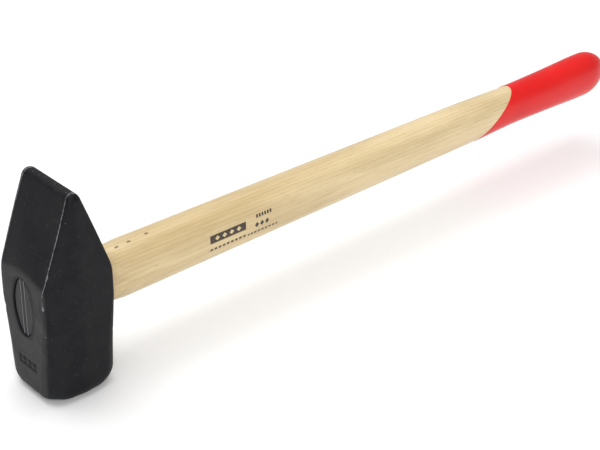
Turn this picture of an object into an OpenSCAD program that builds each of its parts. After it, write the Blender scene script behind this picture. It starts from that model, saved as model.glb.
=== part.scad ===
// Sledge hammer with a cross peen, German pattern, on a wooden handle.
// The origin is the centre of the striking face. +Z runs up the head to the
// peen, +X runs along the handle to the grip, and Y runs across the hammer.

/* [Head] */
// Length of the head, striking face to peen
head_length = 180; // [172:1:190]
// Depth of the head along the handle, up to the eye
head_depth = 64.6; // [60:0.2:70]
// Depth of the head at the shoulder
shoulder_depth = 63.8; // [60:0.2:64]
// Width of the head across the hammer, over the parting line
head_width = 66.4; // [62:0.2:70]
// Height of the shoulder where the peen begins to narrow
shoulder_height = 106; // [104:1:112]
// Draft of the forged cheeks, falling away from the parting line, degrees
cheek_draft = 6; // [0:0.5:8]
// Width of the peen over its nose
peen_width = 64.8; // [56:0.2:66]
// Radius of the peen's nose
nose_radius = 6.3; // [3:0.1:8]
// Rounding of the striking face's rim
rim_radius = 11; // [6:0.5:14]
// Rounding of the rim at the face's four corners
corner_rim_radius = 17; // [12:0.5:20]
// Reach of the head's corners from its middle, at the striking face
corner_reach_face = 38.2; // [37:0.1:41]
// Reach of the head's corners from its middle, at the shoulder
corner_reach_shoulder = 43.9; // [42:0.1:44]

/* [Eye] */
// Height of the eye's middle above the striking face
eye_height = 80.8; // [76:0.2:82]
// Long axis of the eye on the handle's side
eye_length = 48.6; // [44:0.2:49]
// Short axis of the eye on the handle's side
eye_width = 25; // [22:0.2:28]
// Radius of the eye's two ends
eye_end_radius = 8.4; // [7:0.2:10]
// Growth of the eye from the handle's side to the wedge's side
eye_flare = 1.04; // [1:0.01:1.05]

/* [Stamp] */
// Length of the stamped panel under the eye
stamp_length = 24; // [16:1:28]
// Height of the stamped panel
stamp_height = 7.8; // [5:0.2:9]
// Depth of the stamped panel
stamp_depth = 0.7; // [0.4:0.1:1]
// Number of plain raised lozenges in the panel
stamp_lozenges = 3; // [1:1:4]

/* [Handle] */
// Overall length of the handle
handle_length = 701; // [500:1:900]
// Height of the handle just behind the head
handle_height = 48.8; // [46:0.2:52]
// Width of the handle just behind the head
handle_width = 36.6; // [32:0.2:40]
// Loss of height per millimetre towards the grip
height_taper = 0.0158; // [0.01:0.0002:0.02]
// Loss of width per millimetre towards the grip
width_taper = 0.0108; // [0.008:0.0002:0.013]
// Extra height of the flare at the grip
flare_height = 5; // [0:0.2:10]
// Extra width of the flare at the grip
flare_width = 1; // [0:0.2:8]
// Distance from the grip's end back to the middle of the flare
flare_setback = 31; // [25:1:60]
// Spread of the flare along the handle
flare_spread = 42; // [30:1:60]
// Depth of the neck just short of the flare
neck_depth = 2.2; // [0:0.2:4]
// Distance from the grip's end back to the middle of the neck
neck_setback = 145; // [120:5:180]
// Spread of the neck along the handle
neck_spread = 42; // [30:1:60]
// Recess of the handle's end below the eye's rim
tenon_recess = 1; // [0.2:0.2:3]

/* [Wedge] */
// Thickness of the wedge at the eye's rim
wedge_thickness = 6.5; // [4:0.5:8]
// Thickness of the wedge at its tip
wedge_tip = 2; // [1:0.5:3]
// Depth that the wedge is driven to
wedge_depth = 42; // [30:1:46]
// Length of open saw kerf left past the wedge's tip
kerf_left = 8; // [4:1:12]

/* [Grip coat] */
// Thickness of the lacquer on the grip
coat_thickness = 0.4; // [0.3:0.1:0.8]
// Distance from the grip's end to the middle of the coat's edge
coat_length = 171; // [120:1:220]
// Lean of the coat's edge along the handle, mm per mm of height
coat_lean = 1.33; // [0:0.01:1.5]
// Skew of the coat's edge along the handle, mm per mm across
coat_skew = 0.15; // [0:0.01:0.3]

/* [Hidden] */

half_depth = head_depth / 2;
half_width = head_width / 2;
handle_start = tenon_recess - half_depth;
handle_end = handle_start + handle_length;

// Facets of the arcs, and how far cutting shapes run past a face
arc_sides = 64;
overrun = 2;

// Lozenges and corners of the stamped panel
stamp_height_up = 30;
stamp_corner = 1.5;
stamp_margin = 1.6;

// The wedge stands a little less deep than the handle's end
wedge_recess = 0.7 * tenon_recess;

// Rounded shoulder of the handle behind the head, and the grip's domed end
shoulder_run = 28;
shoulder_side = 0.4;
dome_run = 29;
dome_flat = 0.13;

// Place behind the head where the handle has its stated height and width
gauge_x = 90;

// Stations of the handle's swept surface: close together at the grip and
// wider apart towards the head, where the shaft is nearly straight
section_sides = 48;
oval_power = 2.15;
shoulder_rings = 7;
dome_rings = 10;
grip_step = 12;
step_growth = 0.6;
most_steps = 60;

// ---- Head -------------------------------------------------------------

// Side view: sides that draw in slightly above the eye, then two slopes that
// run tangent into the round nose, and rounded lower edges.
module side_outline() {
    shoulder_half = shoulder_depth / 2;
    nose_z = head_length - nose_radius;
    reach = sqrt(pow(shoulder_half, 2) + pow(nose_z - shoulder_height, 2));
    lean = atan2(shoulder_half, nose_z - shoulder_height) - asin(nose_radius / reach);
    touch_x = nose_radius * cos(lean);
    touch_z = nose_z + nose_radius * sin(lean);
    polygon([
        [half_depth, rim_radius],
        [half_depth, eye_height],
        [shoulder_half, shoulder_height],
        [touch_x, touch_z],
        [-touch_x, touch_z],
        [-shoulder_half, shoulder_height],
        [-half_depth, eye_height],
        [-half_depth, rim_radius],
        [rim_radius - half_depth, 0],
        [half_depth - rim_radius, 0]
    ]);
    translate([0, nose_z])
        circle(r = nose_radius, $fn = arc_sides);
    for (side = [-1, 1])
        translate([side * (half_depth - rim_radius), rim_radius])
            circle(r = rim_radius, $fn = arc_sides);
}

// End view: straight sides, drawn in a little at the peen, rounded below.
module end_outline() {
    peen_half = peen_width / 2;
    polygon([
        [half_width, rim_radius],
        [half_width, shoulder_height],
        [peen_half, head_length],
        [-peen_half, head_length],
        [-half_width, shoulder_height],
        [-half_width, rim_radius],
        [rim_radius - half_width, 0],
        [half_width - rim_radius, 0]
    ]);
    for (side = [-1, 1])
        translate([side * (half_width - rim_radius), rim_radius])
            circle(r = rim_radius, $fn = arc_sides);
}

// Plan view: each cheek is two drafted planes that meet on the parting line.
module plan_outline() {
    edge = half_width - half_depth * tan(cheek_draft);
    polygon([
        [half_depth, -edge],
        [half_depth, edge],
        [0, half_width],
        [-half_depth, edge],
        [-half_depth, -edge],
        [0, -half_width]
    ]);
}

// Above the shoulder the cheeks also lean in to the peen. One block's face is
// one of the four drafted planes, and its mirror images give the other three.
module peen_cheeks() {
    lean_in = atan2(half_width - peen_width / 2, head_length - shoulder_height);
    block = 2 * head_length;
    intersection_for(flip = [[0, 0], [1, 0], [0, 1], [1, 1]])
        mirror([flip[0], 0, 0])
            mirror([0, flip[1], 0])
                translate([0, half_width, shoulder_height])
                    rotate([lean_in, 0, -cheek_draft])
                        translate([-block / 2, -block, -block / 2])
                            cube(block);
}

// Round envelope that trims the corners, more so towards the striking face.
module corner_envelope() {
    turn_x = corner_reach_face - corner_rim_radius;
    rotate_extrude($fn = arc_sides) {
        polygon([
            [0, 0],
            [turn_x, 0],
            [corner_reach_face, corner_rim_radius],
            [corner_reach_shoulder, shoulder_height],
            [corner_reach_shoulder, head_length],
            [0, head_length]
        ]);
        intersection() {
            translate([turn_x, corner_rim_radius])
                circle(r = corner_rim_radius, $fn = arc_sides);
            square([corner_reach_face, corner_rim_radius]);
        }
    }
}

// Oval of four arcs, its long axis along the sketch's Y: two end arcs and two
// side arcs that are tangent to them.
module eye_oval() {
    half_long = eye_length / 2;
    half_short = eye_width / 2;
    end_y = half_long - eye_end_radius;
    side_radius = (pow(half_short, 2) + pow(end_y, 2) - pow(eye_end_radius, 2))
        / (2 * (half_short - eye_end_radius));
    touch_y = side_radius * end_y / (side_radius - eye_end_radius);
    intersection() {
        square([eye_width, 2 * touch_y], center = true);
        translate([half_short - side_radius, 0])
            circle(r = side_radius, $fn = 2 * arc_sides);
        translate([side_radius - half_short, 0])
            circle(r = side_radius, $fn = 2 * arc_sides);
    }
    for (side = [-1, 1])
        translate([0, side * end_y])
            circle(r = eye_end_radius, $fn = arc_sides);
}

// Tapered plug that fills the eye, wider at the wedge's side.
module eye_plug() {
    translate([half_depth + overrun, 0, eye_height])
        rotate([90, 0, -90])
            linear_extrude(height = head_depth + 2 * overrun, scale = eye_flare)
                eye_oval();
}

// Rounded panel sunk into the face under the eye, with plain lozenges left
// standing in it.
module stamped_panel() {
    pitch = (stamp_length - 2 * stamp_margin) / stamp_lozenges;
    lozenge = (stamp_height - 2 * stamp_margin) / sqrt(2);
    translate([stamp_depth - half_depth, 0, stamp_height_up])
        rotate([90, 0, -90])
            linear_extrude(height = stamp_depth + overrun)
                difference() {
                    union() {
                        square([stamp_length - 2 * stamp_corner, stamp_height], center = true);
                        square([stamp_length, stamp_height - 2 * stamp_corner], center = true);
                        for (sx = [-1, 1], sy = [-1, 1])
                            translate([
                                sx * (stamp_length / 2 - stamp_corner),
                                sy * (stamp_height / 2 - stamp_corner)
                            ])
                                circle(r = stamp_corner, $fn = arc_sides / 2);
                    }
                    for (i = [0 : stamp_lozenges - 1])
                        translate([(i - (stamp_lozenges - 1) / 2) * pitch, 0])
                            rotate(45)
                                square(lozenge, center = true);
                }
}

// Forged steel head with its cross peen, eye and stamped panel.
module hammer_head() {
    color("#2b2b2d")
        difference() {
            intersection() {
                translate([0, head_width / 2, 0])
                    rotate([90, 0, 0])
                        linear_extrude(height = head_width)
                            side_outline();
                translate([-half_depth, 0, 0])
                    rotate([90, 0, 90])
                        linear_extrude(height = head_depth)
                            end_outline();
                linear_extrude(height = head_length)
                    plan_outline();
                peen_cheeks();
                corner_envelope();
            }
            eye_plug();
            stamped_panel();
        }
}

// ---- Handle -----------------------------------------------------------

dome_start = handle_end - dome_run;
shoulder_end = half_depth + shoulder_run;

// Bell curve centred some way back from the grip's end
function bell(x, setback, spread) = exp(-pow((x - handle_end + setback) / spread, 2));
function flare(x) = bell(x, flare_setback, flare_spread);
function neck(x) = neck_depth * bell(x, neck_setback, neck_spread);

// Half height and half width of the full shaft at a place along it
function shaft_height(x) =
    (handle_height - height_taper * (x - gauge_x) + flare_height * flare(x) - neck(x)) / 2;
function shaft_width(x) =
    (handle_width - width_taper * (x - gauge_x) + flare_width * flare(x) - neck(x)) / 2;

// Smooth step that swells the shoulder from the eye to the full shaft
function swell(x) =
    let (u = min(1, (x - half_depth) / shoulder_run))
    u * u * (3 - 2 * u);

// Quarter ellipse that draws the dome in to a small flat end
function draw_in(x, coat) =
    x <= dome_start ? 1
    : dome_flat + (1 - dome_flat) * sqrt(max(0, 1 - pow((x - dome_start) / (dome_run + coat), 2)));

function half_height(x, coat) =
    let (root = eye_length / 2 + 0.1)
    (root + (shaft_height(x) - root) * swell(x) + coat) * draw_in(x, coat);
function half_width_at(x, coat) =
    let (root = eye_width / 2 + shoulder_side)
    (root + (shaft_width(x) - root) * swell(x) + coat) * draw_in(x, coat);

// One oval ring: a superellipse a little fuller than an ellipse
function bulge(v) = sign(v) * pow(abs(v), 2 / oval_power);
function ring(x, coat) = [
    for (i = [0 : section_sides - 1])
        let (angle = 360 * i / section_sides)
        [
            x,
            half_width_at(x, coat) * bulge(cos(angle)),
            eye_height + half_height(x, coat) * bulge(sin(angle))
        ]
];

function shaft_station(i) = dome_start - i * (grip_step + i * step_growth);
shoulder_stations = [
    for (i = [0 : shoulder_rings])
        half_depth + shoulder_run * i / shoulder_rings
];
shaft_stations = [
    for (i = [most_steps : -1 : 0])
        if (shaft_station(i) > shoulder_end + grip_step)
            shaft_station(i)
];

// Skin a stack of rings and close both ends
module skin(rings) {
    n = section_sides;
    last = len(rings) - 1;
    polyhedron(
        points = [for (r = rings) each r],
        faces = [
            [for (i = [0 : n - 1]) i],
            for (k = [0 : last - 1], i = [0 : n - 1])
                [k * n + i, (k + 1) * n + i, (k + 1) * n + (i + 1) % n, k * n + (i + 1) % n],
            [for (i = [n - 1 : -1 : 0]) last * n + i]
        ]
    );
}

function dome_stations(coat) = [
    for (i = [1 : dome_rings])
        dome_start + (dome_run + coat) * sin(90 * i / dome_rings)
];

// Solid of the handle outside the head
module shaft() {
    stations = concat(shoulder_stations, shaft_stations, dome_stations(0));
    skin([for (x = stations) ring(x, 0)]);
}

// Slot across the tenon: the wedge's own taper, then the saw kerf past it
module wedge_outline(recess, tail) {
    rim_x = recess - half_depth;
    tip_x = wedge_depth - half_depth;
    rim_half = wedge_thickness / 2;
    tip_half = wedge_tip / 2;
    polygon([
        [rim_x, -rim_half],
        [tip_x, -tip_half],
        [tip_x + tail, -tip_half],
        [tip_x + tail, tip_half],
        [tip_x, tip_half],
        [rim_x, rim_half]
    ]);
}

// Wooden handle: a tenon that fills the eye, a rounded shoulder and an oval
// shaft that slims towards the flared grip.
module handle() {
    color("#e3cb9d")
        difference() {
            union() {
                intersection() {
                    eye_plug();
                    translate([handle_start, -half_width, eye_height - half_depth])
                        cube([half_depth - handle_start + overrun / 2, head_width, head_depth]);
                }
                shaft();
            }
            translate([0, 0, eye_height - eye_length])
                linear_extrude(height = 2 * eye_length)
                    wedge_outline(wedge_recess, kerf_left);
        }
}

// Hardwood wedge driven into the kerf along the eye's long axis.
module eye_wedge() {
    color("#4a4038")
        intersection() {
            translate([0, 0, eye_height - eye_length])
                linear_extrude(height = 2 * eye_length)
                    wedge_outline(wedge_recess, 0);
            eye_plug();
        }
}

// ---- Grip coat --------------------------------------------------------

// Skin of dipped lacquer over the grip's end. Its edge slants and is a little
// skewed, as the grip was dipped out of square.
module grip_coat() {
    edge_x = handle_end - coat_length;
    reach = handle_height;
    coated = [
        for (x = shaft_stations)
            if (x > edge_x - (coat_lean + 1) * reach)
                x
    ];
    color("#e4322f")
        difference() {
            intersection() {
                skin([for (x = concat(coated, dome_stations(coat_thickness))) ring(x, coat_thickness)]);
                translate([edge_x, 0, eye_height])
                    rotate([0, 0, -atan(coat_skew)])
                        translate([0, half_width, 0])
                            rotate([90, 0, 0])
                                linear_extrude(height = head_width)
                                    polygon([
                                        [-coat_lean * reach, -reach],
                                        [coat_length + reach, -reach],
                                        [coat_length + reach, reach],
                                        [coat_lean * reach, reach]
                                    ]);
            }
            shaft();
        }
}

hammer_head();
handle();
eye_wedge();
grip_coat();
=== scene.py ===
from math import asin, atan2, cos, hypot, pi, radians, sin, tan

import bmesh
import bpy
import numpy as np
from mathutils import Matrix, Vector


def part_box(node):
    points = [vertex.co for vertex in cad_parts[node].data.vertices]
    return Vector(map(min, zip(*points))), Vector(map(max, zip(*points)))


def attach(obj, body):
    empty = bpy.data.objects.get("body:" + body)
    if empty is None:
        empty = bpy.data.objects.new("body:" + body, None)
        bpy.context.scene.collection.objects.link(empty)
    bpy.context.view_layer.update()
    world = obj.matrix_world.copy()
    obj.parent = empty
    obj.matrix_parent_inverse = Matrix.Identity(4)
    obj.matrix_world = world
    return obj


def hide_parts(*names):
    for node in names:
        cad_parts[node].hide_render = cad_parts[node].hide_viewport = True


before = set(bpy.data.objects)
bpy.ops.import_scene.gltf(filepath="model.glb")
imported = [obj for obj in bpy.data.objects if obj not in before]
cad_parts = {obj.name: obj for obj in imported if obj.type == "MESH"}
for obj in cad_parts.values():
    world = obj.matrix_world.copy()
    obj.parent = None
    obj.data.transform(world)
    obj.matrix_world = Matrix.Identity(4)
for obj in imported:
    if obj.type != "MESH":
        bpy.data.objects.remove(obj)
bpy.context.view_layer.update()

# ---- Hammer head -------------------------------------------------------
# One steel drop forging: a striking face, a cross peen and an eye for the
# handle. Its cheeks fall away from a parting line, its corners are broad below
# and sharp above, and a dip of black lacquer has worn off the sharp edges.
# Shapes are worked out in millimetres and put into the meshes in metres.

MM = 0.001
head_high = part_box("hammer_head")[1] / MM
half_depth, half_width, head_length = head_high

# Heights up the head, and the draft of its cheeks
shoulder_height = 106.0
eye_height = 80.8
cheek_slope = tan(radians(6))
ridge_rounding = 1.5

# Shoulder: how far the face draws in to it, and the crown of the slope above
draw_in = 0.4
crown_rise = 5.3
crown_fade = 44.0
crown_start = 50.0
shoulder_rounding = 1.3

# Peen: its nose, its width, and the rounding of its two ends
nose_radius = 6.3
nose_height = head_length - nose_radius
peen_half = 32.4
peen_end_radius = 5.6

# Striking face: rim rounding at the middle of a side and at a corner
rim_radius = 11.0
rim_corner_radius = 15.2
corner_heights = [0, 40, 62, 80, shoulder_height, shoulder_height + 6, 150, head_length]
corner_radii = [16.3, 11.2, 7.0, 3.4, 2.4, 1.5, 2.2, 4.4]

# Eye: an oval of four arcs that widens towards the wedge's side
eye_long = 24.3
eye_short = 12.5
eye_end_radius = 8.4
eye_end_y = eye_long - eye_end_radius
eye_side_radius = (eye_short**2 + eye_end_y**2 - eye_end_radius**2) / (2 * (eye_short - eye_end_radius))
eye_side_y = eye_side_radius - eye_short
eye_flare = 0.04
eye_lip = 0.9

# Stamped panel under the eye
panel_height = 30.0
panel_half_length = 12.0
panel_half_height = 3.9
panel_corner = 1.5
panel_depth = 1.1
panel_wall = 0.6
lozenge_pitch = 6.9
lozenge_half = 2.5

# The slope's line leaves the shoulder and runs tangent into the nose
shoulder_half = half_depth - draw_in
slope_lean = atan2(shoulder_half, nose_height - shoulder_height) - asin(
    nose_radius / hypot(shoulder_half, nose_height - shoulder_height)
)
touch_x = nose_radius * cos(slope_lean)
touch_z = nose_height + nose_radius * sin(slope_lean)


def smooth(u):
    """Smooth step of u: 3u^2 - 2u^3, held at 0 below 0 and at 1 above 1."""
    u = np.clip(u, 0, 1)
    return u * u * (3 - 2 * u)


def runs(*spans):
    """Even runs of numbers (start, end, steps) joined end to end, with each shared end kept once."""
    parts = [np.linspace(a, b, n, endpoint=False) for a, b, n in spans]
    return np.concatenate([*parts, [spans[-1][1]]])


def across_head(y):
    """Share of the crown at a distance y across the head: the square of a cosine, 1 in the middle,
    0 at the cheeks.
    """
    return np.cos(np.clip(y / half_width, -1, 1) * pi / 2) ** 2


def face_depth(y, z):
    """Half depth of the head at (y, z): the lesser of an upright face and a slope, their corner
    rounded, then a round nose.

    The slope stands out by a crown that fades upwards, so that the shoulder line bows up in the
    middle.
    """
    face = half_depth - draw_in * np.clip((z - eye_height) / (shoulder_height - eye_height), 0, 1)
    crown = crown_rise * across_head(y) * (1 - smooth((z - shoulder_height - crown_rise) / crown_fade))
    slope = touch_x + (touch_z - z + crown) * tan(slope_lean)
    lesser = (face + slope - np.sqrt((face - slope) ** 2 + shoulder_rounding**2)) / 2
    nose = np.sqrt(np.clip(nose_radius**2 - (z - nose_height) ** 2, 0, None))
    return np.where(z > touch_z, nose, lesser)


def cheek_width(z):
    """Half width on the parting line at height z: straight, leaning in above the shoulder, and
    rounded off at the peen's ends.
    """
    up_peen = np.clip((z - shoulder_height) / (head_length - shoulder_height), 0, 1)
    lean = (half_width - peen_half) * up_peen
    over = np.clip((z - head_length + peen_end_radius) / peen_end_radius, 0, 1)
    return half_width - lean - peen_end_radius * (1 - np.sqrt(1 - over**2))


def cheek_fall(x):
    """Fall of a cheek at x from its parting line: proportional to x, with the ridge itself rounded."""
    return cheek_slope * (np.sqrt(x**2 + ridge_rounding**2) - ridge_rounding)


# Places across a face, from -1 to 1: an inner zone of fixed width, finely
# divided for the stamped panel, and outer zones that reach to the corners
inner_half = 15.0
inner_share = 0.7
panel_share = inner_share * (panel_half_length + panel_wall) / inner_half
face_across = runs(
    (-1, -0.985, 1), (-0.985, -inner_share, 11), (-inner_share, -panel_share, 4),
    (-panel_share, panel_share, 64), (panel_share, inner_share, 4),
    (inner_share, 0.985, 11), (0.985, 1, 1),
)
cheek_along = runs((-1, -0.98, 1), (-0.98, -0.1, 22), (-0.1, 0.1, 8), (0.1, 0.98, 22), (0.98, 1, 1))
corner_steps = 8


def face_y(across, reach):
    """Distance across a face: even to the inner zone's edge, and from there even to the corner's
    start at reach.
    """
    outer = inner_half + (np.abs(across) - inner_share) / (1 - inner_share) * (reach - inner_half)
    inner = np.abs(across) / inner_share * inner_half
    return np.sign(across) * np.where(np.abs(across) > inner_share, outer, inner)


def head_outline(z):
    """Level outline of the head at heights z, given for every row and column: x, y and the outward
    direction.

    It runs round the wedge's face, a cheek, the handle's face and the other cheek, with a round
    corner after each. A corner's centre lies one radius inside both of its sides, and the last half
    of the outline is the first one turned.
    """
    half = z.shape[1] // 2
    n_face, n_corner = len(face_across), corner_steps - 1
    edge = face_depth(half_width, z[:, :half])
    radius = np.minimum(np.interp(z[:, :half], corner_heights, corner_radii), 0.8 * edge)
    norm = hypot(1, cheek_slope)
    centre_x = edge - radius
    centre_y = cheek_width(z[:, :half]) - cheek_slope * centre_x - radius * norm
    turn = atan2(1, cheek_slope)

    face = slice(0, n_face)
    first_corner = slice(n_face, n_face + n_corner)
    cheek = slice(n_face + n_corner, half - n_corner)
    last_corner = slice(half - n_corner, half)

    wedge_y = -face_y(face_across[None, :], centre_y[:, face])
    wedge_x = -face_depth(wedge_y, z[:, face])
    wedge_side = (wedge_x, wedge_y, -np.ones_like(wedge_x), np.zeros_like(wedge_x))

    cheek_x = cheek_along[None, :] * (centre_x[:, cheek] + radius[:, cheek] * cheek_slope / norm)
    cheek_y = cheek_fall(cheek_x) - cheek_width(z[:, cheek])
    tilt = cheek_slope * np.clip(cheek_x / ridge_rounding, -1, 1)
    cheek_side = (cheek_x, cheek_y, tilt / norm, -np.ones_like(cheek_x) / norm)

    corners = []
    for part, sense in ((first_corner, -1), (last_corner, 1)):
        angle = np.linspace(0, turn, corner_steps + 1)[None, 1:-1][:, ::-sense]
        outward_x = sense * np.cos(angle) + 0 * centre_x[:, part]
        outward_y = -np.sin(angle) + 0 * centre_x[:, part]
        corner_x = sense * centre_x[:, part] + radius[:, part] * outward_x
        corner_y = -centre_y[:, part] + radius[:, part] * outward_y
        corners.append((corner_x, corner_y, outward_x, outward_y))

    sides = [wedge_side, corners[0], cheek_side, corners[1]]
    x, y, nx, ny = (np.concatenate(part, axis=1) for part in zip(*sides))
    return np.stack([np.hstack([part, -part]) for part in (x, y, nx, ny)])


# Levels up the head, with fine rows at the stamped panel and the shoulder
eye_block_low, eye_block_high = 50.8, 103.6
levels = runs(
    (rim_corner_radius, 24.8, 8), (24.8, 35.2, 28), (35.2, eye_block_low, 12),
    (eye_block_low, eye_block_high, 44),
    (eye_block_high, 109, 14), (109, 120, 10), (120, 170, 34), (170, touch_z, 8),
)
nose_levels = nose_height + nose_radius * np.sin(np.linspace(slope_lean, pi / 2, 13))[1:]
levels = np.concatenate([levels, nose_levels])
rim_turns = np.linspace(0, pi / 2, 15)
face_rings = np.array([0, 0.12, 0.3, 0.5, 0.7, 0.88, 0.97])

column_count = 2 * (len(face_across) + len(cheek_along) + 2 * (corner_steps - 1))
column_corner = head_outline(np.full((1, column_count), 20.0))[:, 0]
corner_zone = 28.0
cornerness = np.minimum(np.abs(column_corner[0]), np.abs(column_corner[1])) / corner_zone
cornerness = smooth(cornerness * 2 - 1)
column_rim = rim_radius + (rim_corner_radius - rim_radius) * cornerness
column_y = head_outline(np.full((1, column_count), shoulder_height))[1, 0]

# The rim is a quarter turn whose radius grows towards the corners. Above it
# the rows rise to the listed levels, and bow up with the shoulder line.
bow = smooth((levels - crown_start) / (shoulder_height - crown_start)) * (
    1 - smooth((levels - shoulder_height) / crown_fade)
)
rise = (levels[:, None] - rim_corner_radius) / (eye_block_low - rim_corner_radius)
rim_lift = (column_rim - rim_corner_radius)[None, :] * (1 - np.clip(rise, 0, 1))
body_z = levels[:, None] + rim_lift + crown_rise * bow[:, None] * across_head(column_y)[None, :]
rim_z = column_rim[None, :] * (1 - np.cos(rim_turns))[:, None]
x, y, nx, ny = head_outline(np.vstack([rim_z, body_z[1:]]))
inset = np.zeros_like(x)
inset[: len(rim_turns)] = column_rim[None, :] * (1 - np.sin(rim_turns))[:, None]
x, y = x - nx * inset, y - ny * inset
z = np.vstack([rim_z, body_z[1:]])
x, y = (np.vstack([face_rings[:, None] * part[0], part]) for part in (x, y))
z = np.vstack([np.zeros((len(face_rings), column_count)), z])
nx, ny = (np.vstack([np.zeros((len(face_rings), column_count)), part]) for part in (nx, ny))
head_points = np.stack([x, y, z], axis=-1)
head_pushes = np.stack([nx, ny, np.zeros_like(nx)], axis=-1)


def grid_faces(rows, columns, closed):
    """Corner numbers of the four-sided faces between the rows of a grid. A closed grid joins its
    last column to its first.
    """
    number = np.arange(rows * columns).reshape(rows, columns)
    if closed:
        number = np.hstack([number, number[:, :1]])
    return np.stack([number[:-1, :-1], number[:-1, 1:], number[1:, 1:], number[1:, :-1]], axis=-1)


def border(low_row, high_row, low_column, high_column, columns):
    """Point numbers once round a block of a grid: along its low row, up its high column, back along
    its high row and down.
    """
    row = np.concatenate([
        np.full(high_column - low_column, low_row), np.arange(low_row, high_row),
        np.full(high_column - low_column, high_row), np.arange(high_row, low_row, -1),
    ])
    column = np.concatenate([
        np.arange(low_column, high_column), np.full(high_row - low_row, high_column),
        np.arange(high_column, low_column, -1), np.full(high_row - low_row, low_column),
    ])
    return row * columns + column


def eye_foot(y, up, grow, scale):
    """Nearest point to (y, up) on the eye's oval, enlarged by scale and then pushed outwards by
    grow.

    A point beside the line through a side arc's centre and an end arc's centre falls on the side
    arc, any other on the end arc. Each arc's point is its centre plus its radius in the direction
    from the centre to the point.
    """
    side_turn = np.arctan2(np.abs(up), np.abs(y) + eye_side_y)
    on_side = side_turn < atan2(eye_end_y, eye_side_y)
    turn = np.where(on_side, side_turn, np.arctan2(np.abs(up) - eye_end_y, np.abs(y)))
    radius = np.where(on_side, eye_side_radius, eye_end_radius) * scale + grow
    foot_y = np.where(on_side, -eye_side_y, 0) * scale + radius * np.cos(turn)
    foot_up = np.where(on_side, 0, eye_end_y) * scale + radius * np.sin(turn)
    return np.sign(y) * foot_y, np.sign(up) * foot_up


def eye_scale(x):
    """Enlargement of the eye's oval at x: 1 at the handle's face, growing evenly to the wedge's
    face.
    """
    return 1 + eye_flare * (half_depth - x) / (2 * half_depth)


# The block of the grid round the eye is left out on both faces. One tube
# closes the gap: in from the block's border, over the lip and through the bore.
first_row = len(face_rings) + len(rim_turns) - 1
low_row, high_row = (
    first_row + np.argmin(abs(levels - level)) for level in (eye_block_low, eye_block_high)
)
low_column, high_column = 8, len(face_across) - 9
half_turn = column_count // 2
block = border(low_row, high_row, low_column, high_column, column_count)
block_y, block_up = head_points.reshape(-1, 3)[block, 1:].T - [[0], [eye_height]]


def eye_ring(side, share, turn):
    """Ring of the tube on one side of the head: a share of the way from the block's border to the
    lip, then that turn round it.

    The lip is a quarter circle. Its points lie on the eye's oval pushed outwards by the lip's
    radius times 1 - sin(turn), and below the head's face by the radius times 1 - cos(turn).
    """
    grow = eye_lip * (1 - sin(turn))
    foot_y, foot_up = eye_foot(block_y, block_up, grow, eye_scale(side * half_depth))
    y, up = block_y + (foot_y - block_y) * share, block_up + (foot_up - block_up) * share
    depth = face_depth(y, up + eye_height) - eye_lip * (1 - cos(turn))
    return np.stack([side * depth, y, up + eye_height], -1)


def bore_ring(x):
    """Ring of the bore's wall at x: the eye's oval at its scale there."""
    foot_y, foot_up = eye_foot(block_y, block_up, 0, eye_scale(x))
    return np.stack([np.full_like(foot_y, x), foot_y, foot_up + eye_height], -1)


lip_rings = [(0, 0), (0.3, 0), (0.6, 0), (0.85, 0), (1, 0)]
lip_rings += [(1, turn) for turn in np.linspace(0, pi / 2, 6)[1:]]
tube = np.stack(
    [eye_ring(-1, *ring) for ring in lip_rings]
    + [bore_ring(x) for x in np.linspace(-1, 1, 11)[1:-1] * (half_depth - eye_lip)]
    + [eye_ring(1, *ring) for ring in lip_rings[::-1]]
)
tube_pushes = np.zeros_like(tube)
near_face = np.abs(tube[:, :, 0]) > half_depth - 1.5 * eye_lip
tube_pushes[:, :, 0] = np.where(near_face, np.sign(tube[:, :, 0]), 0)

head_faces = grid_faces(len(z), column_count, True)
for start in (low_column, half_turn + low_column):
    head_faces[low_row:high_row, start:start + high_column - low_column] = -1
head_faces = head_faces.reshape(-1, 4)
head_faces = head_faces[head_faces[:, 0] >= 0]
grid_count = head_points.shape[0] * head_points.shape[1]
tube_faces = grid_faces(*tube.shape[:2], True).reshape(-1, 4) + grid_count
points = np.vstack([head_points.reshape(-1, 3), tube.reshape(-1, 3)])
pushes = np.vstack([head_pushes.reshape(-1, 3), tube_pushes.reshape(-1, 3)])


def waves(p, lengths, seed):
    """Gentle unevenness from -1 to 1 at points p: the mean of sine waves of the given lengths in
    fixed random directions.
    """
    rng = np.random.default_rng(seed)
    total = np.zeros(len(p))
    for length in lengths:
        direction = rng.normal(size=3)
        direction *= 2 * pi / (length * np.linalg.norm(direction))
        total += np.sin(p @ direction + rng.uniform(0, 2 * pi))
    return total / len(lengths)


def panel_recess(p):
    """Share of the panel's depth at points p: 1 inside a rounded rectangle on the wedge's face, 0
    outside and on its lozenges.
    """
    y, up = p[:, 1], p[:, 2] - panel_height
    over_y = np.clip(np.abs(y) - panel_half_length + panel_corner, 0, None)
    over_up = np.clip(np.abs(up) - panel_half_height + panel_corner, 0, None)
    inside = smooth((panel_corner - np.hypot(over_y, over_up)) / panel_wall + 0.5)
    nearest = lozenge_pitch * np.clip(np.round(y / lozenge_pitch), -1, 1)
    lozenge = smooth((lozenge_half - np.abs(y - nearest) - np.abs(up)) / panel_wall + 0.5)
    return inside * (1 - lozenge) * (p[:, 0] < -half_depth / 2)


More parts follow.
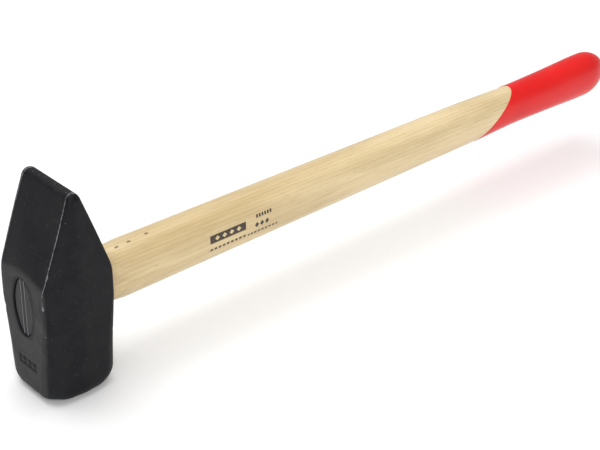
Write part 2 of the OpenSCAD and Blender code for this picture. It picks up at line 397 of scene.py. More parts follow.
# Small knocks: x, y, z, reach and depth of each
knocks = [
    (-31.5, -27.5, 93.0, 4.5, 0.5), (-31.5, -27.0, 67.0, 3.0, 0.7), (-30.5, -28.5, 60.5, 2.6, 0.9),
    (-32.3, -20.0, 83.4, 1.5, 0.5), (-27.0, -29.5, 119.0, 2.4, 0.5), (-9.0, -30.9, 160.0, 2.6, 0.3),
    (31.0, 27.5, 74.0, 3.2, 0.5), (31.5, -27.5, 48.0, 2.6, 0.4), (-31.0, 27.6, 70.0, 3.0, 0.5),
    (1.5, -27.0, 179.5, 2.4, 0.3), (1.0, 27.0, 179.5, 2.0, 0.3), (-14.0, 31.0, 133.0, 2.6, 0.4),
]
broad_depth, fine_depth = 0.14, 0.05
unevenness = broad_depth * (1 + waves(points, (19, 23, 29, 37, 13), 4)) / 2
unevenness = unevenness + fine_depth * (1 + waves(points, (5, 6, 7, 8, 9), 9)) / 2
flat_face = points[:, 2] < 0.5
sink = np.where(flat_face, 0, unevenness) + panel_depth * panel_recess(points)
for *place, reach, depth in knocks:
    sink += depth * np.exp(-np.sum((points - place) ** 2, axis=1) / reach**2 * 2)
points = points - pushes * sink[:, None]

# Wear: up to 1 along the sharp upright edges, at the peen's nose and on the
# knocks, fading away from them and down the edges
wear_start, wear_run = 72.0, 40.0
edge_fade, nose_fade = 1.0, 1.2
joints = [0, len(face_across) - 1, half_turn, half_turn + len(face_across) - 1]
joint_gap = np.min([np.hypot(x - x[:, j:j + 1], y - y[:, j:j + 1]) for j in joints], axis=0)
edge_wear = 0.92 * np.exp(-((joint_gap / edge_fade) ** 2)) * smooth((z - wear_start) / wear_run)
peen_wear = 0.5 * np.exp(-(((head_length - z) / nose_fade) ** 2))
grid_wear = np.maximum(edge_wear, peen_wear).reshape(-1)
wear = np.concatenate([grid_wear, np.zeros(len(points) - grid_count)])
for *place, reach, depth in knocks:
    wear += 0.9 * np.exp(-np.sum((points - place) ** 2, axis=1) / reach**2 * 3)

# Painted light: the wedge's side of the head, but not the eye's lip, gets a lighter black that stands in
# for the brighter reflection on that face
scuff_depth, scuff_fade = 2.2, 1.2
scuff = smooth((-points[:, 0] - half_depth + scuff_depth) / scuff_fade)
scuff[grid_count + 3 * tube.shape[1]:] = 0


def make_piece(name, points, faces, **marks):
    """A mesh object of that name from points in millimetres and four-sided faces, smooth shaded,
    doubles merged, facing out.

    Each mark is one number per point, kept on the mesh for the materials to read.
    """
    mesh = bpy.data.meshes.new(name)
    mesh.from_pydata((points * MM).tolist(), [], faces.tolist())
    for mark, values in marks.items():
        mesh.attributes.new(mark, "FLOAT", "POINT").data.foreach_set("value", values.astype(np.float32))
    shell = bmesh.new()
    shell.from_mesh(mesh)
    bmesh.ops.remove_doubles(shell, verts=shell.verts, dist=1e-6)
    bmesh.ops.recalc_face_normals(shell, faces=shell.faces)
    shell.to_mesh(mesh)
    shell.free()
    mesh.polygons.foreach_set("use_smooth", np.ones(len(mesh.polygons), bool))
    piece = bpy.data.objects.new(name, mesh)
    bpy.context.scene.collection.objects.link(piece)
    return piece


all_faces = np.vstack([head_faces, tube_faces])
head = make_piece("forged_head", points, all_faces, wear=np.clip(wear, 0, 1), scuff=scuff)


def add(tree, kind, settings=None, sockets=None):
    """A new node of that kind. Settings go on the node itself, and a socket takes a value or
    another node's output.
    """
    node = tree.nodes.new(kind)
    for name, value in (settings or {}).items():
        setattr(node, name, value)
    for name, value in (sockets or {}).items():
        if isinstance(value, bpy.types.NodeSocket):
            tree.links.new(value, node.inputs[name])
        else:
            node.inputs[name].default_value = value
    return node


def sum_up(tree, operation, *values, clamp=False):
    """Output of a Math node with that operation on the values."""
    settings = {"operation": operation, "use_clamp": clamp}
    return add(tree, "ShaderNodeMath", settings, dict(enumerate(values))).outputs[0]


def step(tree, value, low, high, to_low=0.0, to_high=1.0):
    """Smooth step of a value from to_low at low to to_high at high."""
    sockets = {"Value": value, "From Min": low, "From Max": high, "To Min": to_low, "To Max": to_high}
    node = add(tree, "ShaderNodeMapRange", {"interpolation_type": "SMOOTHSTEP"}, sockets)
    return node.outputs["Result"]


def blend(tree, share, first, second):
    """Colour that goes from the first to the second as share goes from 0 to 1."""
    node = add(tree, "ShaderNodeMix", {"data_type": "RGBA"}, {0: share, 6: first, 7: second})
    return node.outputs[2]


def mix(tree, share, first, second):
    """Number that goes from the first to the second as share goes from 0 to 1."""
    node = add(tree, "ShaderNodeMix", {"data_type": "FLOAT"}, {0: share, 2: first, 3: second})
    return node.outputs[0]


def noise(tree, vector, scale, detail=3.0, roughness=0.55):
    """Noise from 0 to 1 at that scale."""
    sockets = {"Vector": vector, "Scale": scale, "Detail": detail, "Roughness": roughness}
    return add(tree, "ShaderNodeTexNoise", None, sockets).outputs["Fac"]


def new_group(name, inputs, outputs):
    """An empty shader node group, with its input and output nodes. Inputs and outputs are names
    with their socket kinds.
    """
    group = bpy.data.node_groups.new(name, "ShaderNodeTree")
    for label, kind in inputs.items():
        group.interface.new_socket(name=label, in_out="INPUT", socket_type=kind)
    for label, kind in outputs.items():
        group.interface.new_socket(name=label, in_out="OUTPUT", socket_type=kind)
    return group, group.nodes.new("NodeGroupInput").outputs, group.nodes.new("NodeGroupOutput").inputs


# Satin black dip lacquer over forged or sawn surfaces: a skin of slightly
# uneven black, mottled gloss and a fine texture. The head, the painted end of
# the handle and the wedge share it.
black_skin, given, result = new_group(
    "black_lacquer_skin", {"Vector": "NodeSocketVector"},
    {"Color": "NodeSocketColor", "Roughness": "NodeSocketFloat", "Height": "NodeSocketFloat"},
)
broad = noise(black_skin, given["Vector"], 60.0, 4.0)
fine = noise(black_skin, given["Vector"], 900.0, 4.0, 0.6)
pits = step(black_skin, noise(black_skin, given["Vector"], 380.0, 2.0), 0.62, 0.75)
deep_black, soft_black = (0.005, 0.005, 0.0068, 1), (0.010, 0.010, 0.0115, 1)
tone = blend(black_skin, step(black_skin, broad, 0.3, 0.7), deep_black, soft_black)
black_skin.links.new(blend(black_skin, pits, tone, (0.02, 0.02, 0.02, 1)), result["Color"])
gloss = sum_up(black_skin, "MULTIPLY_ADD", broad, 0.22, 0.36)
black_skin.links.new(sum_up(black_skin, "MULTIPLY_ADD", fine, 0.1, gloss), result["Roughness"])
texture = sum_up(black_skin, "MULTIPLY_ADD", pits, -0.5, fine)
black_skin.links.new(sum_up(black_skin, "MULTIPLY_ADD", broad, 1.2, texture), result["Height"])

# Wear breaks through a mask where noise is high, so that it comes in patches
worn_patches, given, result = new_group(
    "worn_patches",
    {"Vector": "NodeSocketVector", "Mask": "NodeSocketFloat", "Scale": "NodeSocketFloat"},
    {"Mask": "NodeSocketFloat"},
)
patchy = noise(worn_patches, given["Vector"], given["Scale"], 5.0, 0.65)
reach = sum_up(worn_patches, "MULTIPLY_ADD", patchy, 1.3, -1.05)
reach = sum_up(worn_patches, "ADD", given["Mask"], reach)
worn_patches.links.new(step(worn_patches, reach, 0.18, 0.5), result["Mask"])


def place_group(tree, group, sockets):
    """That node group placed in a tree, with its sockets set."""
    return add(tree, "ShaderNodeGroup", {"node_tree": group}, sockets).outputs


head_lacquer = bpy.data.materials.new("head_lacquer")
head_lacquer.use_nodes = True
tree = head_lacquer.node_tree
shader = tree.nodes["Principled BSDF"]
place = add(tree, "ShaderNodeTexCoord").outputs["Object"]
skin = place_group(tree, black_skin, {"Vector": place})
worn_mask = add(tree, "ShaderNodeAttribute", {"attribute_name": "wear"}).outputs["Fac"]
worn = place_group(tree, worn_patches, {"Vector": place, "Mask": worn_mask, "Scale": 420.0})["Mask"]
dark_steel, bright_steel = (0.10, 0.10, 0.11, 1), (0.26, 0.26, 0.275, 1)
steel = blend(tree, noise(tree, place, 1500.0), dark_steel, bright_steel)
# Painted light: patches of lighter black over the wedge's face stand in for that face's brighter
# reflection
scuffed = add(tree, "ShaderNodeAttribute", {"attribute_name": "scuff"}).outputs["Fac"]
scuffed = sum_up(tree, "MULTIPLY", scuffed, step(tree, noise(tree, place, 55.0), 0.3, 0.6, 0.45, 1.0))
painted_light_black = (0.030, 0.030, 0.0315, 1)
colour = blend(tree, scuffed, skin["Color"], painted_light_black)
tree.links.new(blend(tree, worn, colour, steel), shader.inputs["Base Color"])
tree.links.new(sum_up(tree, "MULTIPLY", worn, 0.6), shader.inputs["Metallic"])
tree.links.new(skin["Roughness"], shader.inputs["Roughness"])
height = sum_up(tree, "MULTIPLY_ADD", worn, -1.0, skin["Height"])
bump = add(tree, "ShaderNodeBump", None, {"Strength": 0.35, "Distance": 0.00012, "Height": height})
tree.links.new(bump.outputs["Normal"], shader.inputs["Normal"])
shader.inputs["Specular IOR Level"].default_value = 0.13
head.data.materials.append(head_lacquer)
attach(head, "root")
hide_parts("hammer_head")

# ---- Handle ------------------------------------------------------------
# One length of ash, shaped and sanded to an oval: a tenon that fills the eye, a
# rounded shoulder, and a shaft that slims towards a flared grip. The tenon is
# sawn down its long axis for the wedge. Clear lacquer, and marks in dark ink.

handle_start, handle_end = (corner.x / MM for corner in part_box("handle"))
gauge_x = 90.0
gauge_height, gauge_width = 48.8, 36.6
height_taper, width_taper = 0.0158, 0.0108
flare_height, flare_width, flare_setback, flare_spread = 5.0, 1.0, 31.0, 42.0
neck_depth, neck_setback, neck_spread = 2.2, 145.0, 42.0
shoulder_run = 28.0
root_over_high, root_over_wide = 0.1, 0.4
dome_run = 29.0
dome_flat = 0.13
dome_start = handle_end - dome_run
oval_power = 2.15

# Saw kerf: its half width at the eye's rim, at its end and closed up on the
# shaft, and how deep it goes. Then the tenon's rim, how far the head's lacquer
# ran in past it, and the gap to the eye.
kerf_rim, kerf_tip, kerf_shaft = 3.25, 1.0, 0.3
wedge_tip_x = 42.0 - half_depth
kerf_end = wedge_tip_x + 8.0
tenon_rounding = 2.0
paint_depth = 3.0
tenon_gap = 0.12


def bell(x, setback, spread):
    """Bell curve along the handle, its middle a setback short of the grip's end: exp(-((x - middle)
    / spread)^2).
    """
    return np.exp(-(((x - handle_end + setback) / spread) ** 2))


def shaft_halves(x, coat=0.0):
    """Half height and half width at x of the handle outside the head, under a coat of that
    thickness.

    A straight taper with a flare at the grip and a neck before it swells out of the eye over the
    shoulder by a smooth step, and a quarter ellipse draws it in over the dome at its end.
    """
    flare, neck = bell(x, flare_setback, flare_spread), neck_depth * bell(x, neck_setback, neck_spread)
    high = (gauge_height - height_taper * (x - gauge_x) + flare_height * flare - neck) / 2
    wide = (gauge_width - width_taper * (x - gauge_x) + flare_width * flare - neck) / 2
    swell = smooth((x - half_depth) / shoulder_run)
    over = np.clip((x - dome_start) / (dome_run + coat), 0, 1)
    draw = dome_flat + (1 - dome_flat) * np.sqrt(1 - over**2)
    roots = (eye_long + root_over_high, high), (eye_short + root_over_wide, wide)
    return [(root + (full - root) * swell + coat) * draw for root, full in roots]


def bulge(v):
    """Superellipse's power of a sine or cosine, with its sign kept."""
    return np.sign(v) * np.abs(v) ** (2 / oval_power)


def kerf_half(x):
    """Half width of the kerf at x: the wedge's taper, then even to the kerf's end, and closing up
    on the shaft past it.
    """
    places = [-half_depth, wedge_tip_x, kerf_end, 2 * half_depth]
    return np.interp(x, places, [kerf_rim, kerf_tip, kerf_tip, kerf_shaft])


def half_oval(x, turns, shrink=1.0):
    """Right half of the handle's skin at each x, from the kerf's top edge round to its bottom edge.

    Outside the head it is a superellipse. In the eye each point moves to its foot on the eye's
    oval, less a small gap, and the rim of the tenon's end is a quarter circle.
    """
    high, wide = shaft_halves(x)
    limit = np.arccos(np.clip(kerf_half(x) / (wide * shrink), 0, 1) ** (oval_power / 2))
    y, up = wide * shrink * bulge(np.cos(turns * limit)), high * shrink * bulge(np.sin(turns * limit))
    over = np.clip((handle_start + tenon_rounding - x) / tenon_rounding, 0, 1)
    grow = -tenon_gap - tenon_rounding * (1 - np.sqrt(1 - over**2))
    foot_y, foot_up = eye_foot(y, up, grow, eye_scale(x))
    inside = x < half_depth
    y, up = np.where(inside, np.maximum(foot_y, kerf_half(x)), y), np.where(inside, foot_up, up)
    return np.stack([x + 0 * y, y, up + eye_height], axis=-1)


def stitch(*sheets):
    """Points and faces of several grids of points. Edges that they share are merged when the piece
    is made.
    """
    points, faces, count = [], [], 0
    for sheet in sheets:
        rows, columns = sheet.shape[:2]
        faces.append(grid_faces(rows, columns, False).reshape(-1, 4) + count)
        points.append(sheet.reshape(-1, 3))
        count += rows * columns
    return np.vstack(points), np.vstack(faces)


def between(first, last, shares):
    """Grid of straight lines from the first row of points to the last, cut at the given shares of
    the way.
    """
    shares = np.asarray(shares)[:, None, None]
    return first[None] * (1 - shares) + last[None] * shares


def mirrored(sheet):
    """The same sheet on the other side of the hammer's middle plane."""
    return sheet * [1, -1, 1]


tenon_x = runs((0, 1, 5), (1, 2, 2), (2, 49, 14)) * (kerf_end - handle_start) / 49 + handle_start
shaft_x = runs(
    (kerf_end, half_depth - 0.01, 4), (half_depth - 0.01, half_depth + 0.01, 1),
    (half_depth + 0.01, half_depth + shoulder_run, 16), (half_depth + shoulder_run, dome_start, 110),
)
dome_x = dome_start + dome_run * np.sin(np.linspace(0, pi / 2, 14))[1:]
side_turns = np.linspace(1, -1, 57)[None, :]
tenon = half_oval(tenon_x[:, None], side_turns)
shaft = half_oval(np.concatenate([shaft_x, dome_x])[:, None], side_turns)
end_middle = np.array([handle_end, 0, eye_height])
dome_end = between(shaft[-1], np.broadcast_to(end_middle, shaft[-1].shape), [0, 0.4, 0.8, 1])
kerf_wall = np.stack([
    between(row[:1], row[-1:], np.linspace(0, 1, side_turns.size))[:, 0] for row in tenon
])
end_grain = between(tenon[0], kerf_wall[0], np.linspace(0, 1, 15))
ring_turn = 2.7 * end_grain[1:-1, :, 1] + 0.006 * (end_grain[1:-1, :, 2] - 50) ** 2
grain_relief = 0.06 * np.sin(ring_turn + 1.3 * np.sin(0.37 * ring_turn))
end_grain[1:-1, :, 0] += 0.1 + grain_relief
halves = [tenon, shaft, dome_end, kerf_wall, end_grain]
seams = [np.stack([shaft[:, edge], mirrored(shaft[:, edge])]) for edge in (0, -1)]
kerf_floor = np.stack([kerf_wall[-1], mirrored(kerf_wall[-1])])
handle = make_piece("ash_handle", *stitch(*halves, *map(mirrored, halves), *seams, kerf_floor))


# Ash: growth rings round a heart that lies outside the handle, porous early
# wood in each, long fibres and short dark pores along them
wood_figure, given, result = new_group(
    "wood_figure", {"Vector": "NodeSocketVector", "Pale": "NodeSocketColor", "Tan": "NodeSocketColor"},
    {"Color": "NodeSocketColor", "Height": "NodeSocketFloat"},
)


def stretched(tree, vector, along, across):
    """The vector scaled for noise that is drawn out along the handle."""
    node = add(tree, "ShaderNodeMapping", None, {"Vector": vector, "Scale": (along, across, across)})
    return node.outputs["Vector"]


def distance(tree, vector):
    """Length of a vector."""
    node = add(tree, "ShaderNodeVectorMath", {"operation": "LENGTH"}, {0: vector})
    return node.outputs["Value"]


drift = noise(wood_figure, stretched(wood_figure, given["Vector"], 3.0, 22.0), 1.0, 2.0)
heart = add(wood_figure, "ShaderNodeMapping", None, {
    "Vector": given["Vector"], "Location": (0, 0.061, -0.050), "Scale": (0, 1, 1),
})
radius = distance(wood_figure, heart.outputs["Vector"])
along_x = add(wood_figure, "ShaderNodeSeparateXYZ", None, {0: given["Vector"]}).outputs["X"]
radius = sum_up(wood_figure, "MULTIPLY_ADD", along_x, 0.012, radius)
radius = sum_up(wood_figure, "MULTIPLY_ADD", drift, 0.011, radius)
ring_width = 0.0031
ring = sum_up(wood_figure, "FRACT", sum_up(wood_figure, "MULTIPLY", radius, 1 / ring_width))
ring_start, ring_fade = step(wood_figure, ring, 0.0, 0.18), step(wood_figure, ring, 0.25, 0.85, 1.0, 0.0)
early = sum_up(wood_figure, "MULTIPLY", ring_start, ring_fade)
fibre = noise(wood_figure, stretched(wood_figure, given["Vector"], 16.0, 520.0), 1.0, 4.0, 0.6)
thread = noise(wood_figure, stretched(wood_figure, given["Vector"], 60.0, 2400.0), 1.0, 2.0)
pore = noise(wood_figure, stretched(wood_figure, given["Vector"], 130.0, 2000.0), 1.0, 1.0)
pore = step(wood_figure, pore, 0.6, 0.72)
pore = sum_up(wood_figure, "MULTIPLY", pore, sum_up(wood_figure, "MULTIPLY_ADD", early, 0.8, 0.2))
cloud = noise(wood_figure, stretched(wood_figure, given["Vector"], 9.0, 60.0), 1.0, 3.0)
shade = sum_up(wood_figure, "MULTIPLY_ADD", fibre, 0.8, -0.86)
shade = sum_up(wood_figure, "MULTIPLY_ADD", early, 0.12, shade)
shade = sum_up(wood_figure, "MULTIPLY_ADD", cloud, 1.45, shade)
shade = sum_up(wood_figure, "MULTIPLY_ADD", thread, 0.2, shade)
shade = sum_up(wood_figure, "ADD", shade, step(wood_figure, along_x, 0.18, 0.42, 0.22, -0.12))
shade = sum_up(wood_figure, "MULTIPLY_ADD", pore, 0.55, shade, clamp=True)
wood_figure.links.new(blend(wood_figure, shade, given["Pale"], given["Tan"]), result["Color"])
wood_figure.links.new(sum_up(wood_figure, "MULTIPLY_ADD", pore, -1.0, fibre), result["Height"])


def off_middle(tree, along, up, middle):
    """Distances of a point from a middle given in millimetres, along the handle and up."""
    return [sum_up(tree, "ABSOLUTE", sum_up(tree, "SUBTRACT", value, centre * MM))
            for value, centre in zip((along, up), middle)]


def bar(tree, along, up, middle, half, softness=0.00015):
    """Mask of an upright rectangle of ink: 1 where both distances from its middle are less than its
    half sizes.
    """
    far = off_middle(tree, along, up, middle)
    sides = [step(tree, value, size * MM - softness, size * MM + softness, 1.0, 0.0)
             for value, size in zip(far, half)]
    return sum_up(tree, "MULTIPLY", *sides)


def lozenge_mark(tree, along, up, middle, half, softness=0.0002):
    """Mask of a lozenge: 1 where the shares of its half sizes that a point lies off its middle add
    up to less than 1.
    """
    far = off_middle(tree, along, up, middle)
    total = sum_up(tree, "MULTIPLY_ADD", far[0], half[1] / half[0], far[1])
    return step(tree, total, half[1] * MM - softness, half[1] * MM + softness, 1.0, 0.0)


ash = bpy.data.materials.new("ash_wood")
ash.use_nodes = True
tree = ash.node_tree
shader = tree.nodes["Principled BSDF"]
place = add(tree, "ShaderNodeTexCoord").outputs["Object"]
ash_pale, ash_tan = (0.73, 0.585, 0.345, 1), (0.49, 0.36, 0.18, 1)
wood = place_group(tree, wood_figure, {"Vector": place, "Pale": ash_pale, "Tan": ash_tan})
axes = add(tree, "ShaderNodeSeparateXYZ", None, {0: place}).outputs
along, side = axes["X"], axes["Y"]
up = sum_up(tree, "SUBTRACT", axes["Z"], eye_height * MM)

# Ink on one side: a plain bar with four lozenges cut out of it, three lozenges
# and three dashed lines. Places run along the handle and up from its middle.
cut_pitch, mark_pitch = 7.7, 5.6
ink = bar(tree, along, up, (155.2, 2.6), (19.2, 3.7))
for i in range(4):
    cut = lozenge_mark(tree, along, up, (143.6 + cut_pitch * i, 2.6), (2.5, 2.2))
    ink = sum_up(tree, "SUBTRACT", ink, cut, clamp=True)
for i in range(3):
    mark = lozenge_mark(tree, along, up, (186.5 + mark_pitch * i, -1.0), (2.3, 2.6))
    ink = sum_up(tree, "MAXIMUM", ink, mark)
# Middle, height, half length, half thickness and pitch of each dashed line
dash_lines = (
    (154.8, -7.2, 20.2, 1.1, 4.4), (194.0, 6.9, 9.0, 1.6, 3.0), (193.5, -8.0, 16.5, 0.9, 4.0),
)
for middle, height, half_run, half_high, pitch in dash_lines:
    dash = sum_up(tree, "FRACT", sum_up(tree, "DIVIDE", along, pitch * MM))
    dash = step(tree, dash, 0.62, 0.68, 1.0, 0.0)
    line = sum_up(tree, "MULTIPLY", dash, bar(tree, along, up, (middle, height), (half_run, half_high)))
    ink = sum_up(tree, "MAXIMUM", ink, line)
ink = sum_up(tree, "MULTIPLY", ink, sum_up(tree, "LESS_THAN", side, 0.0))
ink = sum_up(tree, "MULTIPLY", ink, step(tree, noise(tree, place, 1800.0), 0.25, 0.45, 0.75, 1.0))
dark_ink = (0.030, 0.017, 0.006, 1)
colour = blend(tree, ink, wood["Color"], dark_ink)

# Three small dark flecks on top of the shoulder, at x, y and height over the
# handle's middle
fleck_brown = (0.09, 0.05, 0.02, 1)
for fleck_x, fleck_y, fleck_up in ((52.0, -5.5, 24.0), (64.0, -5.0, 24.3), (82.0, -4.0, 24.4)):
    gap = add(tree, "ShaderNodeMapping", None, {
        "Vector": place, "Scale": (400, 900, 300),
        "Location": (-400 * fleck_x * MM, -900 * fleck_y * MM, -300 * (fleck_up + eye_height) * MM),
    })
    gap = distance(tree, gap.outputs["Vector"])
    colour = blend(tree, step(tree, gap, 0.5, 1.1, 0.85, 0.0), colour, fleck_brown)

# The tenon's end took the same black lacquer as the head
paint_end = (handle_start + paint_depth) * MM
painted = step(tree, along, paint_end, paint_end + MM, 1.0, 0.0)
skin = place_group(tree, black_skin, {"Vector": place})
tree.links.new(blend(tree, painted, colour, skin["Color"]), shader.inputs["Base Color"])
rough = step(tree, wood["Height"], 0.2, 0.8, 0.42, 0.34)
rough = mix(tree, painted, rough, skin["Roughness"])
tree.links.new(rough, shader.inputs["Roughness"])
height = sum_up(tree, "MULTIPLY_ADD", ink, -0.2, wood["Height"])
bump = add(tree, "ShaderNodeBump", None, {"Strength": 0.25, "Distance": 0.0001, "Height": height})
tree.links.new(bump.outputs["Normal"], shader.inputs["Normal"])
tree.links.new(sum_up(tree, "MULTIPLY_ADD", painted, -0.35, 0.35), shader.inputs["Coat Weight"])
shader.inputs["Coat Roughness"].default_value = 0.22
shader.inputs["Specular IOR Level"].default_value = 0.3
handle.data.materials.append(ash)
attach(handle, "root")
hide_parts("handle")

# ---- Wedge -------------------------------------------------------------
# A flat taper of hardwood, driven into the tenon's kerf along the eye's long
# axis and trimmed off below the rim. Driving has raised its two edges a little,
# and its end took the head's black lacquer.

wedge_rim_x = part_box("eye_wedge")[0].x / MM
wedge_clearance = 0.05
edge_lift = 0.4


def wedge_section(x, across, along):
    """Level points of the wedge at x: across is its share of the half thickness, and along its
    share of the oval's height.
    """
    y = across * (np.interp(x, [-half_depth, wedge_tip_x], [kerf_rim, kerf_tip]) - wedge_clearance)
    reach = eye_end_radius * eye_scale(x) - wedge_clearance
    up = along * (eye_end_y * eye_scale(x) + np.sqrt(reach**2 - y**2))
    return np.stack([x + 0 * up, y + 0 * up, up + eye_height], axis=-1)


wedge_across = np.linspace(-1, 1, 17)[None, :]
wedge_along = np.linspace(-1, 1, 81)[:, None]
wedge_x = np.linspace(wedge_rim_x + edge_lift, wedge_tip_x, 12)
sections = np.stack([wedge_section(x, wedge_across, wedge_along) for x in wedge_x])
wedge_loop = border(0, wedge_along.size - 1, 0, wedge_across.size - 1, wedge_across.size)
wedge_skin = sections.reshape(len(wedge_x), -1, 3)[:, np.append(wedge_loop, wedge_loop[0])]
rim_end = sections[0].copy()
lift = edge_lift * (0.15 + 0.85 * np.abs(wedge_across) ** 5) * (1 - np.abs(wedge_across) ** 40)
ragged = 0.75 + 0.25 * np.sin(wedge_along * 17 + 2 * np.sin(wedge_along * 5))
rim_end[:, :, 0] -= lift * ragged * (1 - np.abs(wedge_along) ** 30)
wedge = make_piece("hardwood_wedge", *stitch(wedge_skin, rim_end, sections[-1]))

wedge_wood = bpy.data.materials.new("wedge_wood")
wedge_wood.use_nodes = True
tree = wedge_wood.node_tree
shader = tree.nodes["Principled BSDF"]
place = add(tree, "ShaderNodeTexCoord").outputs["Object"]
wedge_pale, wedge_tan = (0.42, 0.25, 0.12, 1), (0.24, 0.12, 0.05, 1)
wood = place_group(tree, wood_figure, {"Vector": place, "Pale": wedge_pale, "Tan": wedge_tan})
skin = place_group(tree, black_skin, {"Vector": place})
axes = add(tree, "ShaderNodeSeparateXYZ", None, {0: place}).outputs
along, side = axes["X"], sum_up(tree, "ABSOLUTE", axes["Y"])
paint_end = (wedge_rim_x + paint_depth) * MM
painted = step(tree, along, paint_end, paint_end + MM, 1.0, 0.0)
# Lighter grey bands along the wedge's two raised edges: partly paint rubbed off in driving, partly a
# painted highlight
edge_highlight_and_rub = step(tree, side, 1.7 * MM, 2.3 * MM)
edge_highlight_and_rub = sum_up(tree, "MULTIPLY", edge_highlight_and_rub, step(tree, side, 2.8 * MM, 3.1 * MM, 1.0, 0.0))
highlight_and_rub_grey = (0.15, 0.15, 0.157, 1)
colour = blend(tree, edge_highlight_and_rub, skin["Color"], highlight_and_rub_grey)
tree.links.new(blend(tree, painted, wood["Color"], colour), shader.inputs["Base Color"])
tree.links.new(mix(tree, painted, 0.6, skin["Roughness"]), shader.inputs["Roughness"])
sockets = {"Strength": 0.3, "Distance": 0.0001, "Height": wood["Height"]}
bump = add(tree, "ShaderNodeBump", None, sockets)
tree.links.new(bump.outputs["Normal"], shader.inputs["Normal"])
shader.inputs["Specular IOR Level"].default_value = 0.2
wedge.data.materials.append(wedge_wood)
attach(wedge, "root")
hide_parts("eye_wedge")

# ---- Grip coat ---------------------------------------------------------
# A skin of glossy red lacquer. The grip was dipped at a slant, so that the
# coat's edge is a long oval, where the lacquer ends in a thin rounded lip.

coat_thickness = 0.4
coat_length = 171.0
coat_lean = 1.343
coat_skew = 0.15
lip_share = 0.006
coat_turns = np.linspace(0, 2 * pi, 113)[None, :]


def coat_sheet(x, thickness):
    """Points of the grip's skin at x, one row for each x and one column for each turn, under a coat
    of that thickness.
    """
    high, wide = shaft_halves(x, thickness)
    y, up = wide * bulge(np.cos(coat_turns)), high * bulge(np.sin(coat_turns))
    return np.stack([x + 0 * y, y, up + eye_height], axis=-1)


# The slanting edge cuts the skin where x = edge + lean * height + skew * y.
# Each pass puts the skin's y and height at the last pass's x.
coat_edge = handle_end - coat_length
edge_x = np.full(coat_turns.shape, coat_edge)
for _ in range(5):
    edge_points = coat_sheet(edge_x, 0)
    edge_x = coat_edge + coat_lean * (edge_points[..., 2] - eye_height)
    edge_x = edge_x + coat_skew * edge_points[..., 1]

lip_shares = lip_share * (1 - np.cos(np.linspace(0, pi / 2, 6)))
shares = np.concatenate([lip_shares, runs((0.012, 0.05, 4), (0.05, 1, 40))])[:, None]
lip_curve = np.sqrt(1 - (1 - np.clip(shares / lip_share, 0, 1)) ** 2)
sleeve_x = edge_x + (dome_start - edge_x) * shares
outer = coat_sheet(sleeve_x, coat_thickness * lip_curve)
inner = coat_sheet(sleeve_x, 0)
sheets = []
for sleeve, thickness in ((outer, coat_thickness), (inner, 0.0)):
    rows = (dome_start + (dome_run + thickness) * np.sin(np.linspace(0, pi / 2, 16)))[:, None]
    dome = coat_sheet(rows, thickness)
    middle = np.broadcast_to([rows[-1, 0], 0, eye_height], dome[-1].shape)
    sheets += [sleeve, dome, between(dome[-1], middle, [0, 0.35, 0.7, 1])]
coat = make_piece("red_grip_coat", *stitch(*sheets))

red = bpy.data.materials.new("grip_lacquer")
red.use_nodes = True
tree = red.node_tree
shader = tree.nodes["Principled BSDF"]
place = add(tree, "ShaderNodeTexCoord").outputs["Object"]
grain_print = noise(tree, stretched(tree, place, 30.0, 900.0), 1.0, 3.0)
sag = noise(tree, place, 37.0, 1.0)
deep_red, bright_red = (0.63, 0.005, 0.005, 1), (0.69, 0.008, 0.007, 1)
tone = blend(tree, step(tree, sag, 0.3, 0.7), deep_red, bright_red)
tree.links.new(tone, shader.inputs["Base Color"])
tree.links.new(sum_up(tree, "MULTIPLY_ADD", sag, 0.12, 0.24), shader.inputs["Roughness"])
height = sum_up(tree, "MULTIPLY_ADD", grain_print, 0.25, sag)
bump = add(tree, "ShaderNodeBump", None, {"Strength": 0.2, "Distance": 0.0002, "Height": height})
tree.links.new(bump.outputs["Normal"], shader.inputs["Normal"])
shader.inputs["Specular IOR Level"].default_value = 0.3
coat.data.materials.append(red)
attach(coat, "root")
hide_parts("grip_coat")

# ---- Camera ------------------------------------------------------------
# Looks down over the wedge's side of the head, along the handle, with a long
# lens. The whole head is in view and the grip's end reaches the picture's edge.

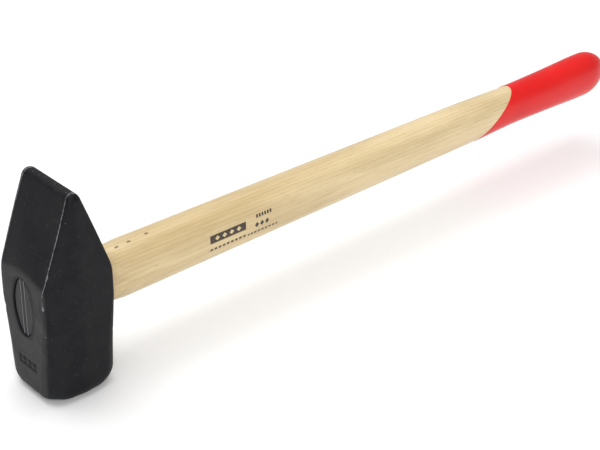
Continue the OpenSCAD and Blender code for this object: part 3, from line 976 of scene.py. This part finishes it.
camera_turn, camera_lift, camera_roll = radians(-42.76), radians(30.04), radians(1.19)
camera_aim = Vector((154.995, -104.895, 129.594)) * MM
camera_distance = 1118.06 * MM
level_part = cos(camera_lift)
back = Vector((sin(camera_turn) * level_part, -cos(camera_turn) * level_part, sin(camera_lift)))
camera = bpy.data.objects.new("camera", bpy.data.cameras.new("camera"))
camera.data.lens = 87.0
camera.data.sensor_width = 36.0
camera.location = camera_aim + back * camera_distance
upright = (-back).to_track_quat("-Z", "Y").to_matrix()
camera.rotation_euler = (Matrix.Rotation(camera_roll, 3, back) @ upright).to_euler()
bpy.context.scene.collection.objects.link(camera)
bpy.context.scene.camera = camera

# ---- Floor and light ---------------------------------------------------
# A plain pale floor at the striking face, far wider than the hammer. A broad
# soft light hangs over the handle, a second one fills from the front, and a
# dim even sky lifts the shadows.

floor = bpy.data.objects.new("floor", bpy.data.meshes.new("floor"))
floor_reach = 6.0
floor_corners = [(x * floor_reach, y * floor_reach, 0) for x, y in ((-1, -1), (1, -1), (1, 1), (-1, 1))]
floor.data.from_pydata(floor_corners, [], [(0, 1, 2, 3)])
bpy.context.scene.collection.objects.link(floor)
floor_paint = bpy.data.materials.new("floor_paint")
floor_paint.use_nodes = True
shader = floor_paint.node_tree.nodes["Principled BSDF"]
shader.inputs["Base Color"].default_value = (0.9, 0.9, 0.9, 1)
shader.inputs["Roughness"].default_value = 0.9
floor.data.materials.append(floor_paint)

world = bpy.data.worlds.new("studio")
bpy.context.scene.world = world
world.use_nodes = True
sky = world.node_tree.nodes["Background"]
sky.inputs["Color"].default_value = (1, 1, 1, 1)
sky.inputs["Strength"].default_value = 0.5
bpy.context.scene.view_settings.view_transform = "Standard"


def soft_light(name, place, aim, size, power):
    """A square area light of that size and power, at a place, facing its aim."""
    light = bpy.data.objects.new(name, bpy.data.lights.new(name, "AREA"))
    light.data.size = size
    light.data.energy = power
    light.location = place
    light.rotation_euler = (Vector(aim) - Vector(place)).to_track_quat("-Z", "Y").to_euler()
    bpy.context.scene.collection.objects.link(light)


soft_light("overhead", place=(0.1, 0.5, 2.2), aim=(0.2, 0, 0), size=2.2, power=44)
soft_light("front_fill", place=(-1.0, -2.2, 1.5), aim=(0.25, 0, 0.08), size=1.6, power=38)
